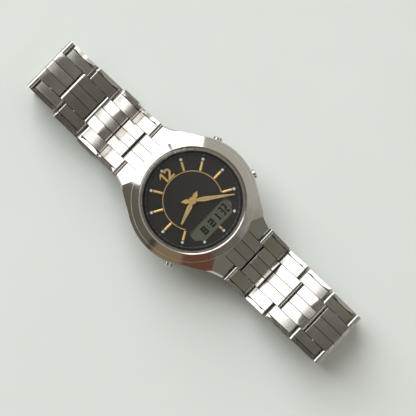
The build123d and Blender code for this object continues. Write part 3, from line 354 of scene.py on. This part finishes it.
def bezel_finish(face):
    """Satin ring and bevel round the crystal; the wide face polished."""
    reach = math.hypot(face.center.x, face.center.y) / MM
    return 1 if reach < bezel_crest_radius and face.normal.z > 0.7 else 0


def clasp_finish(face):
    return 0 if abs(face.normal.z) > 0.7 else 1


def back_finish(face):
    return 0 if abs(face.normal.z) > 0.7 else 1


for node_name in nodes:
    if node_name.startswith("link_"):
        number = int(node_name.rsplit("_", 1)[1])
        width = row_widths[min(number, len(row_widths)) - 1]
        finish_node(node_name, link_brushed, link_polished, painted_shade_steel,
                    choose=link_finish(node_name, width))

for end in ("end_piece_12", "end_piece_6"):
    finish_node(end, link_brushed, link_polished, painted_shade_steel,
                choose=link_finish(end, row_widths[0]))
finish_node("case_body", case_brushed, case_polished, painted_shade_steel, choose=head_finish)
finish_node("bezel_ring", bezel_polished, bezel_brushed, choose=bezel_finish)
finish_node("case_back", back_brushed, case_polished, choose=back_finish)
finish_node("clasp_cover", clasp_brushed, clasp_polished, choose=clasp_finish)
finish_node("clasp_outer_blade", blade_brushed)
finish_node("clasp_inner_blade", blade_brushed)

plain_finishes = {
    "clasp_pins": small_steel, "lug_spring_bars": small_steel, "back_screws": small_steel,
    "clasp_button_right": button_steel, "clasp_button_left": button_steel,
    "pusher_2": button_steel, "pusher_4": button_steel, "pusher_8": button_steel,
    "crystal": crystal_glass, "crystal_gasket": seal_rubber, "back_gasket": seal_rubber,
    "pusher_seals": seal_rubber, "flange_ring": flange_paint, "dial": dial_black,
    "solar_cell": solar_film, "lcd_panel": lcd_glass, "hour_markers": gold,
    "hour_dots": lume, "dial_arc": gold, "numeral_12": gold, "hour_hand": gold,
    "minute_hand": gold, "hour_wheel": brass, "centre_wheel": brass, "minute_wheel": brass,
    "second_wheel": brass, "rotor": small_steel, "movement_holder": movement_plastic,
    "main_plate": brass, "train_bridge": brass, "circuit_board": board_green,
    "battery": cell_steel, "battery_clip": small_steel, "stator": small_steel,
    "motor_coil": copper_wire, "antenna": copper_wire,
}
for node_name, material in plain_finishes.items():
    finish_node(node_name, material)


# Added pieces

def added_piece(name, form, material, body):
    """Turns a drawn form into a piece that rides on a body."""
    bmesh.ops.recalc_face_normals(form, faces=form.faces)
    mesh = bpy.data.meshes.new(name)
    form.to_mesh(mesh)
    form.free()
    mesh.materials.append(material)
    piece = bpy.data.objects.new(name, mesh)
    bpy.context.scene.collection.objects.link(piece)
    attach(piece, body)


def close_prism(form, lower, upper):
    """Side faces between two outlines with the same number of corners."""
    for index in range(len(lower)):
        after = (index + 1) % len(lower)
        form.faces.new((lower[index], lower[after], upper[after], upper[index]))


def solid_piece(name, outlines, bottom, top, material, body):
    """Thin raised shapes: each outline (m) is drawn up from the bottom to the top height."""
    form = bmesh.new()
    for outline in outlines:
        lower = [form.verts.new((x, y, bottom)) for x, y in outline]
        upper = [form.verts.new((x, y, top)) for x, y in outline]
        form.faces.new(list(reversed(lower)))
        form.faces.new(upper)
        close_prism(form, lower, upper)
    added_piece(name, form, material, body)


# Display: seven-segment figures, whose level bars run over the full width
segments_of = {"2": "abged", "3": "abgcd", "8": "abcdefg"}


def bar_outline(x0, y0, x1, y1, width):
    """A bar between two points, with its corners cut off (mm in, m out)."""
    ahead = Vector((x1 - x0, y1 - y0)).normalized() * width / 2
    side = Vector((-ahead.y, ahead.x))
    start, end = Vector((x0, y0)), Vector((x1, y1))
    keep, cut = 0.7, 0.3
    points = [start + side * keep, start + side + ahead * cut, end + side - ahead * cut,
              end + side * keep, end - side * keep, end - side - ahead * cut,
              start - side + ahead * cut, start - side * keep]
    return [tuple(point * MM) for point in points]


def figure(digit, left, right, bottom, top, width):
    """Outlines of one display figure."""
    middle = (bottom + top) / 2
    x0, x1 = left + width / 2, right - width / 2
    y0, y1 = bottom + width / 2, top - width / 2
    clear = width * 0.56
    lines = {
        "a": (left, y1, right, y1), "b": (x1, middle + clear, x1, y1 - clear),
        "c": (x1, y0 + clear, x1, middle - clear), "d": (left, y0, right, y0),
        "e": (x0, y0 + clear, x0, middle - clear), "f": (x0, middle + clear, x0, y1 - clear),
        "g": (left, middle, right, middle),
    }
    return [bar_outline(*lines[name], width) for name in segments_of[digit]]


def square_outline(x, y, side):
    half = side / 2
    corners = [(x - half, y - half), (x + half, y - half), (x + half, y + half),
               (x - half, y + half)]
    return [(a * MM, b * MM) for a, b in corners]


large_width = 0.62
small_width = 0.50
large_bottom, large_top = -10.12, -7.55
small_bottom, small_top = -10.15, -7.10
stem_x = 1.88                       # the 1, two bars with a gap between them
stem_gap_bottom, stem_gap_top = -8.87, -8.80
colon_x, colon_side = -2.35, 0.34
colon_heights = (-8.40, -9.30)
display = []
display += figure("8", -4.85, -3.05, large_bottom, large_top, large_width)
display += figure("2", -1.65, 0.15, large_bottom, large_top, large_width)
display += [bar_outline(stem_x, large_bottom, stem_x, stem_gap_bottom, large_width),
            bar_outline(stem_x, stem_gap_top, stem_x, large_top, large_width)]
display += [square_outline(colon_x, y, colon_side) for y in colon_heights]
display += figure("3", 3.40, 4.45, small_bottom, small_top, small_width)
display += figure("2", 4.88, 5.93, small_bottom, small_top, small_width)
solid_piece("lcd_figures", display, lcd_z, lcd_z + print_depth, lcd_ink_film, "head")
rules = [bar_outline(2.75, -10.3, 2.75, -6.95, 0.14), bar_outline(6.55, -10.2, 6.55, -7.1, 0.12)]
solid_piece("lcd_rules", rules, lcd_z, lcd_z + print_depth, lcd_ink_film, "head")


# Minute track on the sloping flange
def flange_ticks():
    """Short pale ticks, longer every five minutes, lying on the flange's slope."""
    form = bmesh.new()
    rise = flange_top_z - dial_z
    run = (flange_top_radius - flange_inner_radius) * MM
    normal = Vector((-rise, 0, run)).normalized() * print_depth
    for minute in range(60):
        fifth = minute % 5 == 0
        start, end = (0.12, 0.88) if fifth else (0.22, 0.72)
        half = (0.11 if fifth else 0.07) * MM
        turn = Matrix.Rotation(math.radians(90 - 6 * minute), 3, "Z")
        corners = []
        for share, side in ((start, -half), (start, half), (end, half), (end, -half)):
            foot = Vector((flange_inner_radius * MM + run * share, side, dial_z + rise * share))
            corners.append((turn @ foot, turn @ (foot + normal)))
        lower = [form.verts.new(low) for low, high in corners]
        upper = [form.verts.new(high) for low, high in corners]
        form.faces.new(lower)
        form.faces.new(upper)
        close_prism(form, lower, upper)
    added_piece("minute_track", form, tick_print, "head")


flange_ticks()


# Inlays in the hands
def inlay_outline(angle, stations):
    """An outline symmetric about a hand's line, from (distance, half width) stations (mm)."""
    heading = math.radians(90 - angle)
    ahead = Vector((math.cos(heading), math.sin(heading)))
    side = Vector((-ahead.y, ahead.x))
    points = [ahead * reach + side * half for reach, half in stations]
    points += [ahead * reach - side * half for reach, half in reversed(stations)]
    return [tuple(point * MM) for point in points]


hour_inlay = inlay_outline(hour_hand_angle, [(1.7, 0.16), (2.6, 0.36), (6.7, 0.10)])
minute_inlay = inlay_outline(minute_hand_angle, [(1.7, 0.14), (3.6, 0.34), (10.8, 0.08)])
solid_piece("hour_inlay", [hour_inlay], hour_hand_top - inlay_sink, hour_hand_top + print_depth,
            inlay_paint, "hour")
blade_top = minute_hand_top - blade_step
solid_piece("minute_inlay", [minute_inlay], blade_top - inlay_sink, blade_top + print_depth,
            inlay_paint, "minute")


# Camera, floor and light

def direction(azimuth, elevation):
    """Unit vector from the object towards a viewpoint or lamp."""
    a, e = math.radians(azimuth), math.radians(elevation)
    return Vector((math.sin(a) * math.cos(e), -math.cos(a) * math.cos(e), math.sin(e)))


def face_along(thing, back):
    """Turns a camera or lamp so that it looks against the back vector."""
    thing.rotation_mode = "QUATERNION"
    thing.rotation_quaternion = (-back).to_track_quat("-Z", "Y")


camera_data = bpy.data.cameras.new("camera")
camera_data.lens = camera_lens
camera = bpy.data.objects.new("camera", camera_data)
bpy.context.scene.collection.objects.link(camera)
back = direction(camera_azimuth, camera_elevation)
camera.location = Vector(camera_target) + back * camera_distance
face_along(camera, back)
camera_data.clip_start = 0.01
bpy.context.scene.camera = camera

floor_mesh = bpy.data.meshes.new("floor")
floor_half = 3.0
floor_drop = -0.00002
floor_corners = [(x * floor_half, y * floor_half, floor_drop)
                 for x, y in ((-1, -1), (1, -1), (1, 1), (-1, 1))]
floor_mesh.from_pydata(floor_corners, [], [(0, 1, 2, 3)])
floor = bpy.data.objects.new("floor", floor_mesh)
bpy.context.scene.collection.objects.link(floor)
floor_look = Look("floor", Roughness=0.75)
paper = floor_look.noise((25, 25, 25), detail=3.0)
floor_look.tint(floor_look.between(paper, 0.0, 1.0), dimmed(floor_colour, 0.985), floor_colour)
floor_look.shader.inputs["Specular IOR Level"].default_value = 0.1
floor_mesh.materials.append(floor_look.material)


def soft_lamp(name, azimuth, elevation, distance, width, height, watts, aside=0):
    """A rectangular lamp that faces the head; aside shifts it level along its own width."""
    data = bpy.data.lights.new(name, "AREA")
    data.shape = "RECTANGLE"
    data.size = width
    data.size_y = height
    data.energy = watts
    lamp = bpy.data.objects.new(name, data)
    bpy.context.scene.collection.objects.link(lamp)
    back = direction(azimuth, elevation)
    level = Vector((back.y, -back.x, 0)).normalized()
    lamp.location = back * distance + level * aside
    face_along(lamp, back)
    return lamp


# A window of three panes towards 12 o'clock, a stronger lamp in its place that mirrors don't
# show (watts per square metre of each), and a long narrow lamp towards 6 o'clock
window_azimuth, window_elevation = 158, 40.0
window_distance = 2.0
window_height = 1.93
window_left, window_right = -1.17, 0.850
mirrored_radiance = 7.0
cast_radiance = 14.2
for pane, (left, right) in enumerate([(window_left, 0.033), (0.092, 0.492), (0.518, window_right)]):
    soft_lamp(f"window_{pane + 1}", window_azimuth, window_elevation, window_distance,
              right - left, window_height, mirrored_radiance * (right - left) * window_height,
              aside=(left + right) / 2)
window_width = window_right - window_left
daylight = soft_lamp("daylight", window_azimuth, window_elevation, window_distance, window_width,
                     window_height, cast_radiance * window_width * window_height,
                     aside=(window_left + window_right) / 2)
daylight.visible_glossy = False
soft_lamp("lamp", 8, 45, 1.4, 1.2, 0.13, 1.3)

world = bpy.data.worlds.new("room")
bpy.context.scene.world = world
world.use_nodes = True
tree = world.node_tree


def world_node(kind, inputs, **settings):
    node = tree.nodes.new("ShaderNode" + kind)
    for label, value in settings.items():
        setattr(node, label, value)
    for label, value in inputs.items():
        if isinstance(value, bpy.types.NodeSocket):
            tree.links.new(value, node.inputs[label])
        else:
            node.inputs[label].default_value = value
    return node


def room_patch(room, azimuth, elevation, full, gone, colour):
    """Blends a round patch into the room's light, full and gone at so many degrees from it."""
    towards = tuple(direction(azimuth, elevation))
    near = world_node("VectorMath", {0: where, 1: towards}, operation="DOT_PRODUCT")
    share = world_node("MapRange", {"Value": near.outputs["Value"],
                                    "From Min": math.cos(math.radians(gone)),
                                    "From Max": math.cos(math.radians(full))},
                       interpolation_type="SMOOTHSTEP")
    mix = world_node("Mix", {"Factor": share.outputs["Result"]}, data_type="RGBA")
    tree.links.new(room, mix.inputs["A"])
    mix.inputs["B"].default_value = (*colour, 1)
    return mix.outputs["Result"]


where = world_node("TexCoord", {}).outputs["Generated"]
height_above = world_node("SeparateXYZ", {"Vector": where}).outputs["Z"]
ramp = world_node("ValToRGB", {"Fac": height_above}).color_ramp
stops = [(0.0, (0.25, 0.24, 0.21)), (0.35, (0.22, 0.205, 0.175)), (0.8, (0.150, 0.135, 0.112)),
         (1.0, (0.110, 0.100, 0.080))]
for element, (position, colour) in zip(ramp.elements, (stops[0], stops[-1])):
    element.position = position
    element.color = (*colour, 1)
for position, colour in stops[1:-1]:
    ramp.elements.new(position).color = (*colour, 1)
room = tree.nodes["Color Ramp"].outputs["Color"]
room = room_patch(room, 92, 42, 20, 55, (0.54, 0.52, 0.47))       # pale wall towards 3 o'clock
room = room_patch(room, -74, 50, 9, 13, (0.30, 0.215, 0.135))     # wood towards 9 o'clock
room = room_patch(room, -42, 48, 9, 13, (0.17, 0.075, 0.050))     # brick red towards 7 o'clock
room = room_patch(room, -95, 52, 2, 4, (0.03, 0.025, 0.02))       # and a dark gap over them
tree.links.new(room, tree.nodes["Background"].inputs["Color"])

bpy.context.scene.view_settings.view_transform = "Standard"
